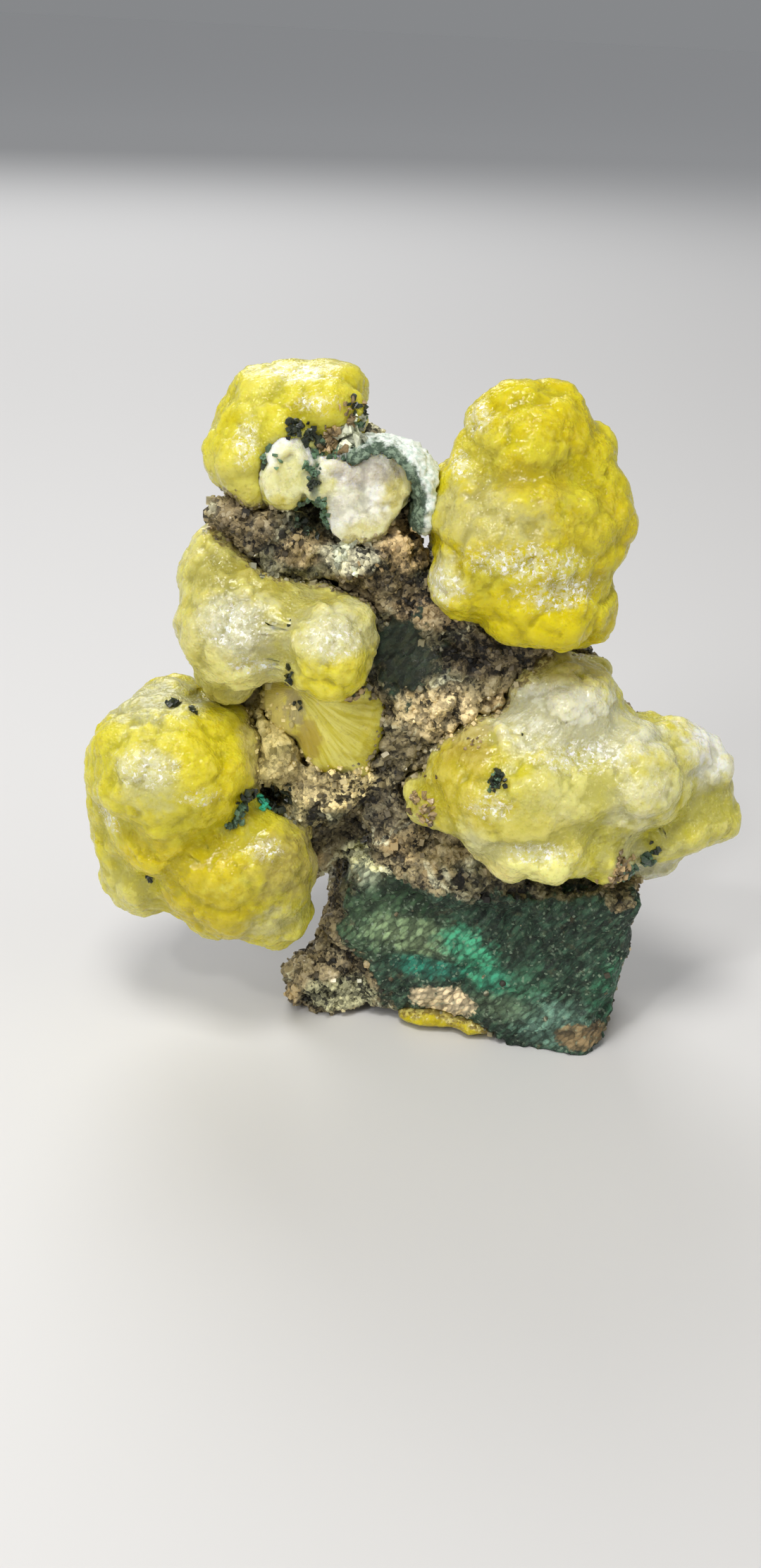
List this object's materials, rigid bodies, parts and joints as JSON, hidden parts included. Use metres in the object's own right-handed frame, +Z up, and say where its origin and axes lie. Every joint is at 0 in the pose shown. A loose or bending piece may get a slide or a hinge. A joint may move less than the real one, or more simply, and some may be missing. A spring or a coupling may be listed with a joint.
{
  "type": "brucite specimen",
  "caption": "Yellow rounded brucite lumps grown on a dark serpentine rock that stands upright on its flat broken foot, for display.",
  "frame": {"origin": "the middle of the specimen's bounding box, on the surface that its foot rests on", "axes": "+Z up, +X to the right and +Y away from a person who faces its display side"},
  "size_m": [0.1146, 0.0508, 0.1184],
  "materials": {
    "serpentine_rock": "granular, with a dark green slickenside on the foot",
    "lemon_brucite": "waxy and sugary, translucent",
    "golden_brucite": "glossy, waxy, translucent",
    "pale_brucite": "waxy, translucent, greenish white to lemon",
    "fibrous_brucite": "fibrous, in fans",
    "broken_brucite": "fine-grained broken face",
    "mint_rind": "chalky, pale green over dark green"
  },
  "bodies": {
    "root": {"serpentine_matrix": "serpentine_rock", "brucite_top_left": "lemon_brucite", "brucite_top_right": "golden_brucite", "brucite_middle_left": "pale_brucite", "brucite_fan": "fibrous_brucite", "brucite_lower_left": "lemon_brucite", "brucite_right": "pale_brucite", "brucite_broken_lobe": "broken_brucite", "pale_rind": "mint_rind", "brucite_underside": "golden_brucite"}
  },
  "joints": []
}
